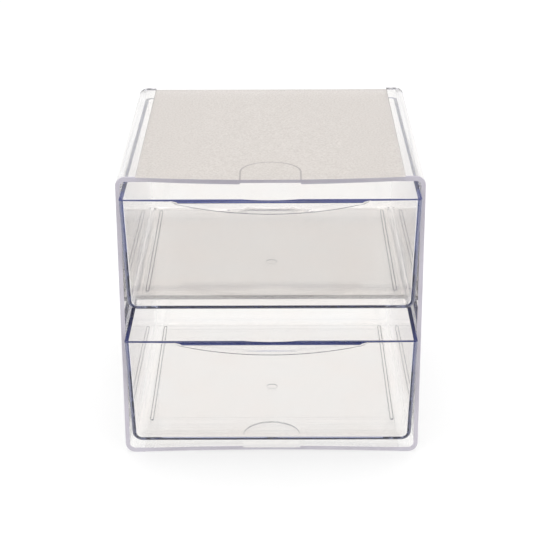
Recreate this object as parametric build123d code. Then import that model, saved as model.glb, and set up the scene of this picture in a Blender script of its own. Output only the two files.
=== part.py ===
from build123d import *
from math import atan2, cos, tan
import os

# A clear desk cube with two drawers. The back is +Y, the drawers pull out to -Y, and Z is up.
# Everything is in millimetres. The origin is on the table, under the middle of the whole object.

# Housing: one moulding with a ring round the open front, a closed back and a fixed middle shelf
width = 152.4
height = 152.0
depth = 157.0
outer_corner = 5.0
front_edge_round = 0.4
back_edge_round = 0.8
back_wall = 2.4

# The hollow of the housing narrows a little towards the back, so that it leaves its mould
bay_half_width = 73.95
bay_half_width_rear = 73.4
bay_floor = 2.6
bay_ceiling = 149.4
bay_ceiling_rear = 148.7
bay_corner = 2.7

# The middle of the top and bottom panels dips inwards at the front and is flat at the back
bow_half_width = 60.0
ceiling_bow = 1.55
floor_bow = 0.8
faded_bow = 0.05

# Top and bottom panels lie below the side strips, which carry a unit stacked above
top_panel_half_width = 66.15
top_panel_front = 151.6
top_panel_rear = 150.9
top_panel_bow = 1.4
bottom_panel_half_width = 66.4
bottom_panel_front = 0.3
bottom_panel_rear = 0.6
bottom_panel_bow = 1.0

# Shelf between the two bays, set back from the front
shelf_top = 77.8
shelf_thickness = 2.3
shelf_setback = 24.0
shelf_bite = 0.8
shelf_front_round = 0.6

# Finger clearances in the inner faces of the top and bottom panels
pocket_width = 30.0
pocket_straight = 12.0
top_pocket_ceiling = 148.65
bottom_pocket_floor = 2.5
pocket_reach = 3.0

# Drawers: two alike, with fronts that lean out at the rim
drawer_pitch = 75.16
lower_drawer_underside = 3.8
drawer_height = 65.7
drawer_wall = 2.0
drawer_floor = 2.0
foot_behind_front = 5.2
rim_ahead_of_front = 14.5
foot_rear_gap = 1.1
rim_rear_gap = 0.8
foot_half_width = 73.1
rim_half_width = 73.4
side_taper = 1.3
side_bottom_round = 5.5
inner_side_round = 3.2
front_round = 1.6
rear_round = 4.0
least_inner_round = 0.6
cut_margin = 2.0

# Pull lip under the rim of each drawer front
lip_reach = 2.2
lip_drop = 6.9
lip_chord = 97.0
lip_ramp = 4.0
lip_flare = 0.3
lip_root = 1.2
lip_edge_round = 0.5

# Shallow scoop in the inner face behind the lip
scoop_chord = 28.0
scoop_depth = 1.5
scoop_drop = 5.0

# Runners and mould gate under each drawer floor
runner_offset = 64.5
runner_width = 1.9
runner_height = 1.05
runner_round = 0.45
runner_front = 28.8
runner_rear = 149.0
gate_diameter = 6.0
gate_depth = 0.4
gate_setback = 68.0

# Slope of the drawer front, and the place of the housing's front plane
front_lean = foot_behind_front + rim_ahead_of_front
lean_angle = atan2(front_lean, drawer_height)
round_loss = lip_edge_round * (tan(lean_angle) + 1 / cos(lean_angle) - 1)
overhang = rim_ahead_of_front + lip_reach / cos(lean_angle) - round_loss
front_y = (overhang - depth) / 2
back_y = front_y + depth
bay_end_y = back_y - back_wall


# Arc of a quarter turn from one point to another, round a centre
def corner_arc(start, end, centre):
    radius = (start - centre).length
    middle = centre + (start + end - centre * 2).normalized() * radius
    return ThreePointArc(start, middle, end)


# Cross-section of the hollow at one distance from the front, with its bowed floor and ceiling
def bay_section(y, half_width, ceiling, floor_rise, ceiling_dip):
    inner_x = half_width - bay_corner
    inner_low = bay_floor + bay_corner
    inner_high = ceiling - bay_corner
    edges = []
    for side, level, inner_level, bow in (
        (1, bay_floor, inner_low, floor_rise),
        (-1, ceiling, inner_high, -ceiling_dip),
    ):
        start = Vector(-side * inner_x, y, level)
        bow_start = Vector(-side * bow_half_width, y, level)
        bow_end = Vector(side * bow_half_width, y, level)
        end = Vector(side * inner_x, y, level)
        corner_end = Vector(side * half_width, y, inner_level)
        other_level = inner_low + inner_high - inner_level
        edges.append(Line(start, bow_start))
        edges.append(ThreePointArc(bow_start, Vector(0, y, level + bow), bow_end))
        edges.append(Line(bow_end, end))
        edges.append(corner_arc(end, corner_end, Vector(side * inner_x, y, inner_level)))
        edges.append(Line(corner_end, Vector(side * half_width, y, other_level)))
        far_centre = Vector(side * inner_x, y, other_level)
        far_level = bay_floor + ceiling - level
        far_end = Vector(side * inner_x, y, far_level)
        edges.append(corner_arc(Vector(side * half_width, y, other_level), far_end, far_centre))
    return Wire(edges)


# Cross-section of the space outside a panel: a slot whose inner face is bowed
def panel_section(y, half_width, edge_level, bow, open_level):
    left = Vector(-half_width, y, edge_level)
    right = Vector(half_width, y, edge_level)
    left_open = Vector(-half_width, y, open_level)
    right_open = Vector(half_width, y, open_level)
    return Wire([
        ThreePointArc(left, Vector(0, y, edge_level + bow), right),
        Line(right, right_open),
        Line(right_open, left_open),
        Line(left_open, left),
    ])


# U-shaped block that clears a finger at the front edge
def finger_block(low, high):
    straight = Pos(0, front_y + pocket_straight / 2) * Rectangle(pocket_width, pocket_straight)
    round_end = Pos(0, front_y + pocket_straight) * Circle(pocket_width / 2)
    ahead = Pos(0, front_y - pocket_reach / 2) * Rectangle(pocket_width, pocket_reach)
    outline = straight + round_end + ahead
    return Pos(0, 0, low) * extrude(outline, high - low)


def build_housing():
    outline = Plane.XZ * Pos(0, height / 2) * RectangleRounded(width, height, outer_corner)
    block = Pos(0, back_y, 0) * extrude(outline, depth)
    block = fillet(block.faces().sort_by(Axis.Y)[0].edges(), front_edge_round)
    block = fillet(block.faces().sort_by(Axis.Y)[-1].edges(), back_edge_round)

    bay = Solid.make_loft([
        bay_section(front_y, bay_half_width, bay_ceiling, floor_bow, ceiling_bow),
        bay_section(bay_end_y, bay_half_width_rear, bay_ceiling_rear, faded_bow, faded_bow),
    ], ruled=True)
    above = Solid.make_loft([
        panel_section(front_y, top_panel_half_width, top_panel_front, -top_panel_bow, height + cut_margin),
        panel_section(back_y, top_panel_half_width, top_panel_rear, -faded_bow, height + cut_margin),
    ], ruled=True)
    below = Solid.make_loft([
        panel_section(front_y, bottom_panel_half_width, bottom_panel_front, bottom_panel_bow, -cut_margin),
        panel_section(back_y, bottom_panel_half_width, bottom_panel_rear, faded_bow, -cut_margin),
    ], ruled=True)
    top_pocket = finger_block(top_pocket_ceiling - pocket_reach, top_pocket_ceiling)
    bottom_pocket = finger_block(bottom_pocket_floor, bottom_pocket_floor + pocket_reach)

    shelf_front = front_y + shelf_setback
    shelf_length = bay_end_y - shelf_front + shelf_bite
    shelf_width = 2 * (bay_half_width_rear + shelf_bite)
    shelf = Box(shelf_width, shelf_length, shelf_thickness, align=(Align.CENTER, Align.MIN, Align.MAX))
    shelf = Pos(0, shelf_front, shelf_top) * shelf
    front_edges = shelf.faces().sort_by(Axis.Y)[0].edges().filter_by(Axis.X)
    shelf = fillet(front_edges, shelf_front_round)
    return block - bay - above - below - top_pocket - bottom_pocket + shelf


# Width of the tub's half at one level above the underside, at its front or its rear
def tub_half_width(level, at_rear):
    share = level / drawer_height
    half_width = foot_half_width + (rim_half_width - foot_half_width) * share
    return half_width - side_taper if at_rear else half_width


# The tub as a closed block, drawn in by an inset, with its front and rear edges rounded
def tub_block(inset, low, high, front_radius, rear_radius, bottom_radius):
    front_rim_y = front_y - rim_ahead_of_front + inset / cos(lean_angle)
    rear_rim_y = bay_end_y - rim_rear_gap - inset
    sections = []
    for y, at_rear in ((front_rim_y - cut_margin, False), (rear_rim_y + cut_margin, True)):
        low_x = tub_half_width(low, at_rear) - inset
        high_x = tub_half_width(high, at_rear) - inset
        outline = Polyline((-low_x, -low), (low_x, -low), (high_x, -high), (-high_x, -high), (-low_x, -low))
        section = make_face(outline)
        section = fillet(section.vertices().sort_by(Axis.Y)[-2:], bottom_radius)
        section_plane = Plane((0, y, 0), x_dir=(1, 0, 0), z_dir=(0, 1, 0))
        sections.append((section_plane * section).wire())
    block = Solid.make_loft(sections, ruled=True)

    front_slope = front_lean / drawer_height
    rear_slope = (foot_rear_gap - rim_rear_gap) / drawer_height
    side_view = Polyline(
        (front_rim_y + (drawer_height - low) * front_slope, low),
        (rear_rim_y - (drawer_height - low) * rear_slope, low),
        (rear_rim_y - (drawer_height - high) * rear_slope, high),
        (front_rim_y + (drawer_height - high) * front_slope, high),
        (front_rim_y + (drawer_height - low) * front_slope, low),
    )
    block = block & extrude(Plane.YZ * make_face(side_view), rim_half_width, both=True)
    for end, radius in ((0, front_radius), (-1, rear_radius)):
        face = block.faces().sort_by(Axis.Y)[end]
        edges = [edge for edge in face.edges() if edge.center().Z < high - cut_margin / 4]
        block = fillet(edges, radius)
    return block


# Crescent lip: a slice of a wide, nearly straight-sided cone that lies on the drawer front. It is
# cut level with the rim, and its two ends ramp down to the front.
def build_lip():
    rim_front = Vector(0, front_y - rim_ahead_of_front, drawer_height)
    outward = Vector(0, -drawer_height, -front_lean).normalized()
    face_radius = (lip_chord ** 2 / 4 + lip_drop ** 2) / (2 * lip_drop)
    front_plane = Plane(rim_front, x_dir=(1, 0, 0), z_dir=outward)
    centre = front_plane.from_local_coords(Vector(0, face_radius - lip_drop, -lip_root))
    depth_in_all = lip_reach + lip_root
    root_radius = face_radius + lip_flare / lip_reach * depth_in_all
    cone_plane = Plane(centre, x_dir=(1, 0, 0), z_dir=outward)
    cone = Solid.make_cone(root_radius, face_radius, depth_in_all, cone_plane)
    half_chord = lip_chord / 2
    plan = make_face(Polyline(
        (-half_chord - lip_ramp, -lip_root),
        (half_chord + lip_ramp, -lip_root),
        (half_chord, 0),
        (half_chord - lip_ramp, lip_reach),
        (lip_ramp - half_chord, lip_reach),
        (-half_chord, 0),
        (-half_chord - lip_ramp, -lip_root),
    ))
    plan_plane = Plane(rim_front, x_dir=(1, 0, 0), z_dir=outward.cross(Vector(1, 0, 0)) * -1)
    ramps = extrude(plan_plane * plan, 2 * lip_drop, both=True)
    keep_length = 2 * lip_chord
    keep = Box(keep_length, keep_length, 2 * lip_drop, align=(Align.CENTER, Align.CENTER, Align.MAX))
    return cone & ramps & (Pos(rim_front.X, rim_front.Y, rim_front.Z) * keep)


# Scoop: a crescent in plan, leaning with the inner face of the front
def build_scoop():
    half_chord = scoop_chord / 2
    inner_y = front_y - rim_ahead_of_front + drawer_wall / cos(lean_angle)
    outline = make_face([
        ThreePointArc((-half_chord, 0), (0, -scoop_depth), (half_chord, 0)),
        Line((half_chord, 0), (half_chord, drawer_wall)),
        Line((half_chord, drawer_wall), (-half_chord, drawer_wall)),
        Line((-half_chord, drawer_wall), (-half_chord, 0)),
    ])
    lean = Vector(0, front_lean, -drawer_height).normalized()
    run = scoop_drop / cos(lean_angle)
    scoop = extrude(Pos(0, inner_y, drawer_height) * outline, amount=run, dir=lean)
    return scoop + extrude(Pos(0, inner_y, drawer_height) * outline, amount=cut_margin, dir=-lean)


# One drawer, standing with its underside at z = 0
def build_drawer():
    tub = tub_block(0, 0, drawer_height, front_round, rear_round, side_bottom_round)
    hollow = tub_block(
        drawer_wall,
        drawer_floor,
        drawer_height + cut_margin,
        max(front_round - drawer_wall, least_inner_round),
        rear_round - drawer_wall,
        inner_side_round,
    )
    drawer = tub - hollow
    lip = build_lip()
    lip_face = lip.faces().sort_by(Axis.Y)[0]
    lip = fillet(lip_face.edges(), lip_edge_round)
    drawer = drawer + lip - build_scoop()

    runner_length = runner_rear - runner_front
    runner_plan = SlotOverall(runner_length, runner_width, rotation=90)
    runner_middle = front_y + (runner_front + runner_rear) / 2
    for side in (-1, 1):
        runner = extrude(runner_plan, runner_height + drawer_floor / 2)
        runner = fillet(runner.faces().sort_by(Axis.Z)[0].edges(), runner_round)
        drawer = drawer + Pos(side * runner_offset, runner_middle, -runner_height) * runner
    gate = Cylinder(gate_diameter / 2, gate_depth, align=(Align.CENTER, Align.CENTER, Align.MIN))
    return drawer - Pos(0, front_y + gate_setback, 0) * gate


housing = build_housing()
drawer = build_drawer()
parts = {
    "housing": housing,
    "lower_drawer": Pos(0, 0, lower_drawer_underside) * drawer,
    "upper_drawer": Pos(0, 0, lower_drawer_underside + drawer_pitch) * drawer,
}

os.makedirs("parts", exist_ok=True)
for name, shape in parts.items():
    export_step(shape, os.path.join("parts", name + ".step"))
    box = shape.bounding_box()
    print(name, round(shape.volume), "mm3", box.min, box.max)
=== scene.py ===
import bmesh
import bpy
from math import cos, radians, sin
from mathutils import Matrix, Vector


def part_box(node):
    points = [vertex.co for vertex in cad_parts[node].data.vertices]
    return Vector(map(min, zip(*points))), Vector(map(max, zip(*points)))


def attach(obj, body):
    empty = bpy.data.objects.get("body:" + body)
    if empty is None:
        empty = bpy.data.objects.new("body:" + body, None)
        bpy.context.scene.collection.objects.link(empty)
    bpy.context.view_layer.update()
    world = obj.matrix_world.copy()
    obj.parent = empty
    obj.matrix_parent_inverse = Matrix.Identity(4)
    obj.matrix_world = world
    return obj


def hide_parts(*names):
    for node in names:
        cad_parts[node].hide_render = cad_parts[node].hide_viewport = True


# A clear desk cube with two drawers. Sizes and places are in metres, the front looks to -Y, and Z is up.

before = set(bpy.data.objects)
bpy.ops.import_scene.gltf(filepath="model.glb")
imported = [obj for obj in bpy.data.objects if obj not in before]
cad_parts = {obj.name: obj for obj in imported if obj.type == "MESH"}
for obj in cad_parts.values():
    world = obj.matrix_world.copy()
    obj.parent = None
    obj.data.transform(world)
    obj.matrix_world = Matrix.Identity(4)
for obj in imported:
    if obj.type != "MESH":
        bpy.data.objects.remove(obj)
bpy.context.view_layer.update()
scene = bpy.context.scene
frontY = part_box("housing")[0].y  # the plane of the ring round the open front


cameraSettings = {
    "place": (0.00376, frontY - 0.76569, 0.4159),
    "pitchDown": 22.25,  # degrees, as yaw and roll are
    "yaw": -0.312,
    "roll": -0.29,
    "lens": 110.37,  # millimetres, as the sensor is
    "sensor": 36.0,
}


def addCamera(s):
    pitch, yaw, roll = radians(s["pitchDown"]), radians(s["yaw"]), radians(s["roll"])
    forward = Vector((sin(yaw) * cos(pitch), cos(yaw) * cos(pitch), -sin(pitch)))
    right = Vector((cos(yaw), -sin(yaw), 0))
    up = right.cross(forward)
    cameraX = right * cos(roll) + up * sin(roll)
    cameraY = up * cos(roll) - right * sin(roll)
    data = bpy.data.cameras.new("camera")
    data.lens = s["lens"]
    data.sensor_width = s["sensor"]
    camera = bpy.data.objects.new("camera", data)
    turn = Matrix((cameraX, cameraY, -forward)).transposed().to_4x4()
    camera.matrix_world = Matrix.Translation(Vector(s["place"])) @ turn
    scene.collection.objects.link(camera)
    scene.camera = camera


addCamera(cameraSettings)
print("camera placed")


mixSockets = {"RGBA": (6, 7, 2), "FLOAT": (2, 3, 0)}  # numbers of A, B and the result, for each kind of mix


def newMaterial(name):
    material = bpy.data.materials.new(name)
    material.use_nodes = True
    tree = material.node_tree
    return material, tree, tree.nodes["Principled BSDF"], tree.nodes["Material Output"]


def feed(tree, socket, value):  # a socket takes a number, a colour or another node's output
    if isinstance(value, (float, tuple)):
        socket.default_value = value
    else:
        tree.links.new(value, socket)


def mathNode(tree, operation, *values):
    node = tree.nodes.new("ShaderNodeMath")
    node.operation = operation
    for socket, value in zip(node.inputs, values):
        feed(tree, socket, value)
    return node.outputs[0]


def mixNode(tree, kind, share, first, second):
    mix = tree.nodes.new("ShaderNodeMix")
    mix.data_type = kind
    firstSocket, secondSocket, result = mixSockets[kind]
    feed(tree, mix.inputs["Factor"], share)
    feed(tree, mix.inputs[firstSocket], first)
    feed(tree, mix.inputs[secondSocket], second)
    return mix.outputs[result]


def rangeNode(tree, value, fromLow, fromHigh, toLow, toHigh):
    spread = tree.nodes.new("ShaderNodeMapRange")
    feed(tree, spread.inputs["Value"], value)
    spread.inputs["From Min"].default_value = fromLow
    spread.inputs["From Max"].default_value = fromHigh
    spread.inputs["To Min"].default_value = toLow
    spread.inputs["To Max"].default_value = toHigh
    return spread


noiseSpan = (0.3, 0.7)  # where nearly all of the noise lies, spread out to the full range


def noiseRange(tree, coords, scale, detail, low, high):
    noise = tree.nodes.new("ShaderNodeTexNoise")
    noise.inputs["Scale"].default_value = scale
    noise.inputs["Detail"].default_value = detail
    tree.links.new(coords, noise.inputs["Vector"])
    return rangeNode(tree, noise.outputs["Fac"], *noiseSpan, low, high).outputs["Result"]


def zoneShare(tree, name):  # a zone that a piece doesn't have reads as 0
    node = tree.nodes.new("ShaderNodeAttribute")
    node.attribute_name = name
    return node.outputs["Fac"]


housingPlastic = {
    "ior": 1.59,
    "clearDark": (1.0, 0.985, 0.97),
    "clearLight": (1.0, 0.995, 0.985),
    "frostDark": (0.73, 0.67, 0.62),  # sanded faces
    "frostLight": (1.0, 0.945, 0.895),
    "frostGlass": 0.6,  # share of the light that passes
    "paintedLineDark": (0.36, 0.31, 0.31),  # narrow faces painted as thin dark lines: painted shade where light bends at them
    "paintedLineLight": (0.46, 0.42, 0.42),
    "paintedLineGlass": 0.5,
    "paintedEdgeDark": (0.54, 0.51, 0.575),  # the ring and the rims: painted light and shade of the light that runs inside the walls and leaves there, over the plastic's own tint
    "paintedEdgeLight": (0.62, 0.59, 0.655),
    "paintedEdgeGlass": 0.12,
    "grainScale": 1000.0,
    "grainDetail": 2.0,
    "streakScale": 40.0,
    "streakDetail": 3.0,
    "glossDetail": 2.0,
    "clearRoughness": (0.0, 0.012),
    "frostRoughness": (0.38, 0.5),
    "bumpDepth": 0.0001,
    "bumpStrength": 0.5,
    "absorbColour": (0.55, 0.55, 0.75),
    "absorbDensity": 3.0,
}
drawerPlastic = {
    **housingPlastic,
    # painted shade: near-black lines, and rims in a dark navy that is partly the plastic's own blue tint
    "paintedLineDark": (0.05, 0.045, 0.06),
    "paintedLineLight": (0.10, 0.09, 0.11),
    "paintedEdgeDark": (0.015, 0.025, 0.13),
    "paintedEdgeLight": (0.035, 0.05, 0.20),
    "paintedEdgeGlass": 0.1,
    "absorbColour": (0.40, 0.46, 0.72),
    "absorbDensity": 9.0,
}
fingerShadeOutline = {"straight": 0.012, "radius": 0.015, "halfWidth": 0.00045, "share": 0.75}


def fingerLine(tree, coords, s):  # painted shade: a thin dark outline traces the wall of the finger clearance through the sanded top
    place = tree.nodes.new("ShaderNodeSeparateXYZ")
    tree.links.new(coords, place.inputs["Vector"])
    behind = mathNode(tree, "SUBTRACT", place.outputs["Y"], frontY + s["straight"])
    behind = mathNode(tree, "MAXIMUM", behind, 0.0)
    behindSquared = mathNode(tree, "MULTIPLY", behind, behind)
    asideSquared = mathNode(tree, "MULTIPLY", place.outputs["X"], place.outputs["X"])
    radius = mathNode(tree, "SQRT", mathNode(tree, "ADD", asideSquared, behindSquared))
    off = mathNode(tree, "ABSOLUTE", mathNode(tree, "SUBTRACT", radius, s["radius"]))
    return mathNode(tree, "MULTIPLY", mathNode(tree, "LESS_THAN", off, s["halfWidth"]), s["share"])


def clearPlastic(name, s):
    material, tree, shader, output = newMaterial(name)
    shader.inputs["IOR"].default_value = s["ior"]
    coords = tree.nodes.new("ShaderNodeTexCoord").outputs["Object"]
    frost, paintedEdge, paintedLine, top = (zoneShare(tree, zone) for zone in ("frost", "paintedEdge", "paintedLine", "top"))
    finger = mathNode(tree, "MULTIPLY", fingerLine(tree, coords, fingerShadeOutline), top)
    paintedLine = mathNode(tree, "MAXIMUM", paintedLine, finger)
    grain = noiseRange(tree, coords, s["grainScale"], s["grainDetail"], 0.0, 1.0)
    streaks = noiseRange(tree, coords, s["streakScale"], s["streakDetail"], 0.0, 1.0)

    colour = mixNode(tree, "RGBA", streaks, (*s["clearDark"], 1.0), (*s["clearLight"], 1.0))
    glass = 1.0
    # over the sanded tone go the painted shade of the narrow faces and the painted light and shade of the
    # ring and rims
    for share, noise, finish in ((frost, grain, "frost"), (paintedLine, streaks, "paintedLine"), (paintedEdge, streaks, "paintedEdge")):
        tint = mixNode(tree, "RGBA", noise, (*s[finish + "Dark"], 1.0), (*s[finish + "Light"], 1.0))
        colour = mixNode(tree, "RGBA", share, colour, tint)
        glass = mixNode(tree, "FLOAT", share, glass, s[finish + "Glass"])
    tree.links.new(colour, shader.inputs["Base Color"])
    tree.links.new(glass, shader.inputs["Transmission Weight"])

    smooth = noiseRange(tree, coords, s["streakScale"], s["glossDetail"], *s["clearRoughness"])
    rough = noiseRange(tree, coords, s["grainScale"], s["glossDetail"], *s["frostRoughness"])
    tree.links.new(mixNode(tree, "FLOAT", frost, smooth, rough), shader.inputs["Roughness"])
    bump = tree.nodes.new("ShaderNodeBump")
    bump.inputs["Distance"].default_value = s["bumpDepth"]
    tree.links.new(grain, bump.inputs["Height"])
    tree.links.new(mixNode(tree, "FLOAT", frost, 0.0, s["bumpStrength"]), bump.inputs["Strength"])
    tree.links.new(bump.outputs["Normal"], shader.inputs["Normal"])

    volume = tree.nodes.new("ShaderNodeVolumeAbsorption")
    volume.inputs["Color"].default_value = (*s["absorbColour"], 1.0)
    volume.inputs["Density"].default_value = s["absorbDensity"]
    tree.links.new(volume.outputs["Volume"], output.inputs["Volume"])
    return material


housingMaterial = clearPlastic("clearHousing", housingPlastic)
drawerMaterial = clearPlastic("clearDrawer", drawerPlastic)
print("two clear plastics mixed")


mouldSettings = {
    "mergeWithin": 1e-6,
    "flatAngle": 0.01,  # degrees, as the sharp angle is
    "sharpAngle": 30.0,
    "edgeRound": 0.00025,  # a moulding has no knife edges
    "edgeSteps": 2,
    "normalWeight": 100,
}


def mouldedCopy(node, s):  # the solid's own mesh as one closed skin with eased edges
    shape = bmesh.new()
    shape.from_mesh(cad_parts[node].data)
    bmesh.ops.remove_doubles(shape, verts=shape.verts, dist=s["mergeWithin"])
    flat = radians(s["flatAngle"])
    bmesh.ops.dissolve_limit(shape, angle_limit=flat, verts=shape.verts, edges=shape.edges)
    skin = bpy.data.meshes.new(node + "_skin")
    shape.to_mesh(skin)
    shape.free()
    skin.polygons.foreach_set("use_smooth", [True] * len(skin.polygons))
    piece = bpy.data.objects.new(node + "_shell", skin)
    scene.collection.objects.link(piece)
    bevel = piece.modifiers.new("edges", "BEVEL")
    bevel.limit_method = "ANGLE"
    bevel.angle_limit = radians(s["sharpAngle"])
    bevel.width = s["edgeRound"]
    bevel.segments = s["edgeSteps"]
    bevel.use_clamp_overlap = True
    even = piece.modifiers.new("normals", "WEIGHTED_NORMAL")
    even.weight = s["normalWeight"]
    even.keep_sharp = False
    bpy.context.view_layer.update()
    evaluated = piece.evaluated_get(bpy.context.evaluated_depsgraph_get())
    piece.data = bpy.data.meshes.new_from_object(evaluated)
    piece.modifiers.clear()
    piece.data.materials.clear()
    return piece


def middle(corners):
    return sum(corners, Vector()) / len(corners)


def reach(corners):  # how far the face's furthest corner is from the middle of the object, left or right
    return max(abs(corner.x) for corner in corners)


def markFaces(piece, zone, share):  # share takes a face's corners and normal, and gives 0 to 1
    mesh = piece.data
    marks = mesh.attributes.new(zone, "FLOAT", "FACE").data
    for face in mesh.polygons:
        corners = [mesh.vertices[index].co for index in face.vertices]
        marks[face.index].value = share(corners, face.normal)


def finishPiece(piece, node, material):
    piece.data.materials.append(material)
    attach(piece, node)
    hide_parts(node)


housingZones = {
    "facesUp": 0.9,  # least share of the normal that points up or down on a level face
    "topFrost": 1.0,
    "bottomFrost": 0.18,
    "shelfFrost": 0.45,
    "topPanel": 0.1499,  # no corner of the top panel is lower
    "bottomPanel": 0.00145,  # no corner of the bottom panel is higher
    "panelHalf": 0.0666,
    "shelfTop": 0.0778,
    "shelfSlack": 0.0001,
    "ringDepth": 0.0005,  # the rounded edge of the ring included
    "fingerHalf": 0.0152,
    "fingerDepth": 0.0275,
    "fingerLow": 0.14,  # the upper finger clearance is above this
    "fingerHigh": 0.01,  # the lower one is below this
    "fingerLean": 0.5,
    "fingerLine": 0.45,
    "shelfSetback": 0.024,
    "shelfRound": 0.0007,
    "shelfFacing": -0.2,
    "shelfLine": 0.5,
}


def onTopPanel(corners, normal):
    s = housingZones
    lowest = min(corner.z for corner in corners)
    inside = reach(corners) < s["panelHalf"] and lowest > s["topPanel"]
    return 1.0 if inside and normal.z > s["facesUp"] else 0.0


def onSandedFace(corners, normal):
    s = housingZones
    if onTopPanel(corners, normal):
        return s["topFrost"]
    highest = max(corner.z for corner in corners)
    if normal.z < -s["facesUp"] and reach(corners) < s["panelHalf"] and highest < s["bottomPanel"]:
        return s["bottomFrost"]
    offShelf = abs(middle(corners).z - s["shelfTop"])
    return s["shelfFrost"] if normal.z > s["facesUp"] and offShelf < s["shelfSlack"] else 0.0


# The ring's front faces take the painted light and shade.
def onRing(corners, normal):
    furthestBack = max(corner.y for corner in corners)
    return 1.0 if furthestBack < frontY + housingZones["ringDepth"] else 0.0


# Painted shade on the finger clearance's walls and the shelf's rounded front.
def onHousingLine(corners, normal):
    s = housingZones
    centre = middle(corners)
    behind = centre.y - frontY
    inFinger = reach(corners) < s["fingerHalf"] and s["ringDepth"] < behind < s["fingerDepth"]
    inPanel = not s["fingerHigh"] < centre.z < s["fingerLow"]
    if inFinger and inPanel and abs(normal.z) < s["fingerLean"]:
        return s["fingerLine"]
    onShelf = abs(behind - s["shelfSetback"]) < s["shelfRound"] and normal.y < s["shelfFacing"]
    return s["shelfLine"] if onShelf else 0.0


shell = mouldedCopy("housing", mouldSettings)
markFaces(shell, "frost", onSandedFace)
markFaces(shell, "top", onTopPanel)
markFaces(shell, "paintedEdge", onRing)
markFaces(shell, "paintedLine", onHousingLine)
finishPiece(shell, "housing", housingMaterial)
print("housing made")


# Shares of painted shade: dark navy on the rim tops, the lip's underside and the front corners; thin dark
# lines at the runners, feet, gate mark and lip.
drawerZones = {
    "frontLean": 16.69,  # degrees
    "facesFront": -0.15,  # the normal's share along Y is under this on a face that looks to the front
    "rimDepth": 0.0004,
    "cornerFrom": 0.07,  # the front corners are further out than this
    "cornerTurn": (0.15, 0.8),  # how far a corner's face turns to the side
    "cornerRise": 0.002,
    "cornerEdge": 0.75,
    "lipReach": 0.0022,
    "lipLeast": 0.0003,
    "lipMiddle": 0.041,  # half the width between the ramps
    "lipTop": 0.5,
    "lipTurn": 0.97,  # how far a face may turn to the front and still be dark
    "rampTurn": 0.7,
    "lipEdge": 0.7,
    "lipLine": 1.0,
    "runnerHeight": 0.00105,
    "runnerSlack": 0.0001,
    "runnerSole": -0.93,  # the runner's sole itself stays clear
    "runnerLine": 0.6,
    "footRise": 0.0016,
    "footTurn": -0.4,
    "footLine": 0.7,
    "gateSetback": 0.068,
    "gateReach": 0.0032,
    "gateRise": 0.0005,
    "gateLean": 0.8,
    "gateLine": 0.7,
}


def drawerShares(name):
    s = drawerZones
    low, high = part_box(name)
    underside = low.z + s["runnerHeight"]
    lean = radians(s["frontLean"])
    outward = Vector((0, -cos(lean), -sin(lean)))
    rimFront = Vector((0, low.y, high.z)) - outward * s["lipReach"]  # where the lip meets the leaning front

    def onLip(centre, normal):
        proud = (centre - rimFront).dot(outward)
        turn = s["lipTurn"] if abs(centre.x) < s["lipMiddle"] else s["rampTurn"]
        return proud > s["lipLeast"] and normal.z < s["lipTop"] and normal.dot(outward) < turn

    def onCorner(centre, normal):
        least, most = s["cornerTurn"]
        turned = normal.y < s["facesFront"] and least < abs(normal.x) < most
        return turned and centre.z > underside + s["cornerRise"] and abs(centre.x) > s["cornerFrom"]

    # Painted shade: the rim tops, the lip's underside and the front corners go dark navy.
    def onEdge(corners, normal):
        if min(corner.z for corner in corners) > high.z - s["rimDepth"]:
            return 1.0
        centre = middle(corners)
        if onLip(centre, normal):
            return s["lipEdge"]
        return s["cornerEdge"] if onCorner(centre, normal) else 0.0

    # Painted shade: thin dark lines at the runners, feet, gate mark and lip.
    def onLine(corners, normal):
        centre = middle(corners)
        rise = centre.z - underside
        if rise < -s["runnerSlack"]:
            return s["runnerLine"] if normal.z > s["runnerSole"] else 0.0
        if rise < s["footRise"] and normal.y < s["facesFront"] and normal.z < s["footTurn"]:
            return s["footLine"]
        aside = max(abs(centre.x), abs(centre.y - frontY - s["gateSetback"]))
        if rise < s["gateRise"] and aside < s["gateReach"] and abs(normal.z) < s["gateLean"]:
            return s["gateLine"]
        return s["lipLine"] if onLip(centre, normal) else 0.0

    return onEdge, onLine


for name in ("upper_drawer", "lower_drawer"):
    tub = mouldedCopy(name, mouldSettings)
    onEdge, onLine = drawerShares(name)
    markFaces(tub, "paintedEdge", onEdge)
    markFaces(tub, "paintedLine", onLine)
    finishPiece(tub, name, drawerMaterial)
    print(name, "made")


def anyRay(tree, names):
    path = tree.nodes.new("ShaderNodeLightPath")
    total = path.outputs[names[0]]
    for name in names[1:]:
        total = mathNode(tree, "MAXIMUM", total, path.outputs[name])
    return total


floorSettings = {
    "size": 8.0,
    "drop": 0.0002,  # a hair under the strips, so that the two don't share a plane
    "colour": (0.33, 0.33, 0.33),
    "roughness": 0.9,
    "specular": 0.0,
    "ownLight": 0.7,  # lifts the floor to white and leaves the shadow
    "seenThrough": 1.0,  # white in gloss and behind the clear walls
}


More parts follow.
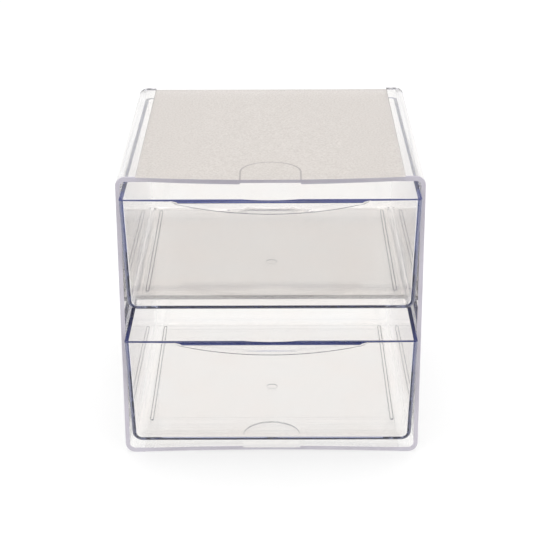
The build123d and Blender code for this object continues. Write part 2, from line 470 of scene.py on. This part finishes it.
def addFloor(s):
    bpy.ops.mesh.primitive_plane_add(size=s["size"], location=(0, 0, -s["drop"]))
    floor = bpy.context.active_object
    floor.name = "floor"
    material, tree, shader, output = newMaterial("paleFloor")
    shader.inputs["Base Color"].default_value = (*s["colour"], 1.0)
    shader.inputs["Roughness"].default_value = s["roughness"]
    shader.inputs["Specular IOR Level"].default_value = s["specular"]
    shader.inputs["Emission Color"].default_value = (1, 1, 1, 1)
    shader.inputs["Emission Strength"].default_value = s["ownLight"]
    glow = tree.nodes.new("ShaderNodeEmission")
    glow.inputs["Strength"].default_value = s["seenThrough"]
    mix = tree.nodes.new("ShaderNodeMixShader")
    tree.links.new(anyRay(tree, ("Is Glossy Ray", "Is Transmission Ray")), mix.inputs["Fac"])
    tree.links.new(shader.outputs["BSDF"], mix.inputs[1])
    tree.links.new(glow.outputs["Emission"], mix.inputs[2])
    tree.links.new(mix.outputs["Shader"], output.inputs["Surface"])
    floor.data.materials.append(material)


skySettings = {"low": 1.0, "high": 0.8, "from": 0.2, "to": 0.6}  # white low down, a little greyer overhead


def addSky(s):
    world = bpy.data.worlds.new("studio")
    scene.world = world
    world.use_nodes = True
    tree = world.node_tree
    direction = tree.nodes.new("ShaderNodeTexCoord").outputs["Generated"]
    split = tree.nodes.new("ShaderNodeSeparateXYZ")
    tree.links.new(direction, split.inputs["Vector"])
    grade = rangeNode(tree, split.outputs["Z"], s["from"], s["to"], s["low"], s["high"])
    grade.interpolation_type = "SMOOTHSTEP"
    seen = mixNode(tree, "FLOAT", anyRay(tree, ("Is Camera Ray",)), grade.outputs["Result"], 1.0)
    tree.links.new(seen, tree.nodes["Background"].inputs["Color"])


lampSettings = {"place": (0.0, 0.0, 1.6), "size": 1.2, "power": 14.0}


def addLamp(s):  # a soft box straight above
    data = bpy.data.lights.new("topBox", "AREA")
    data.shape = "SQUARE"
    data.size = s["size"]
    data.energy = s["power"]
    lamp = bpy.data.objects.new("topBox", data)
    lamp.location = s["place"]
    lamp.rotation_euler = Vector(s["place"]).to_track_quat("Z", "Y").to_euler()
    scene.collection.objects.link(lamp)


addFloor(floorSettings)
addSky(skySettings)
addLamp(lampSettings)
print("floor, sky and lamp placed")

lightBounces = 160  # light runs a long way inside the clear walls
scene.cycles.max_bounces = lightBounces
scene.cycles.transmission_bounces = lightBounces
scene.cycles.glossy_bounces = lightBounces
scene.view_settings.view_transform = "Standard"
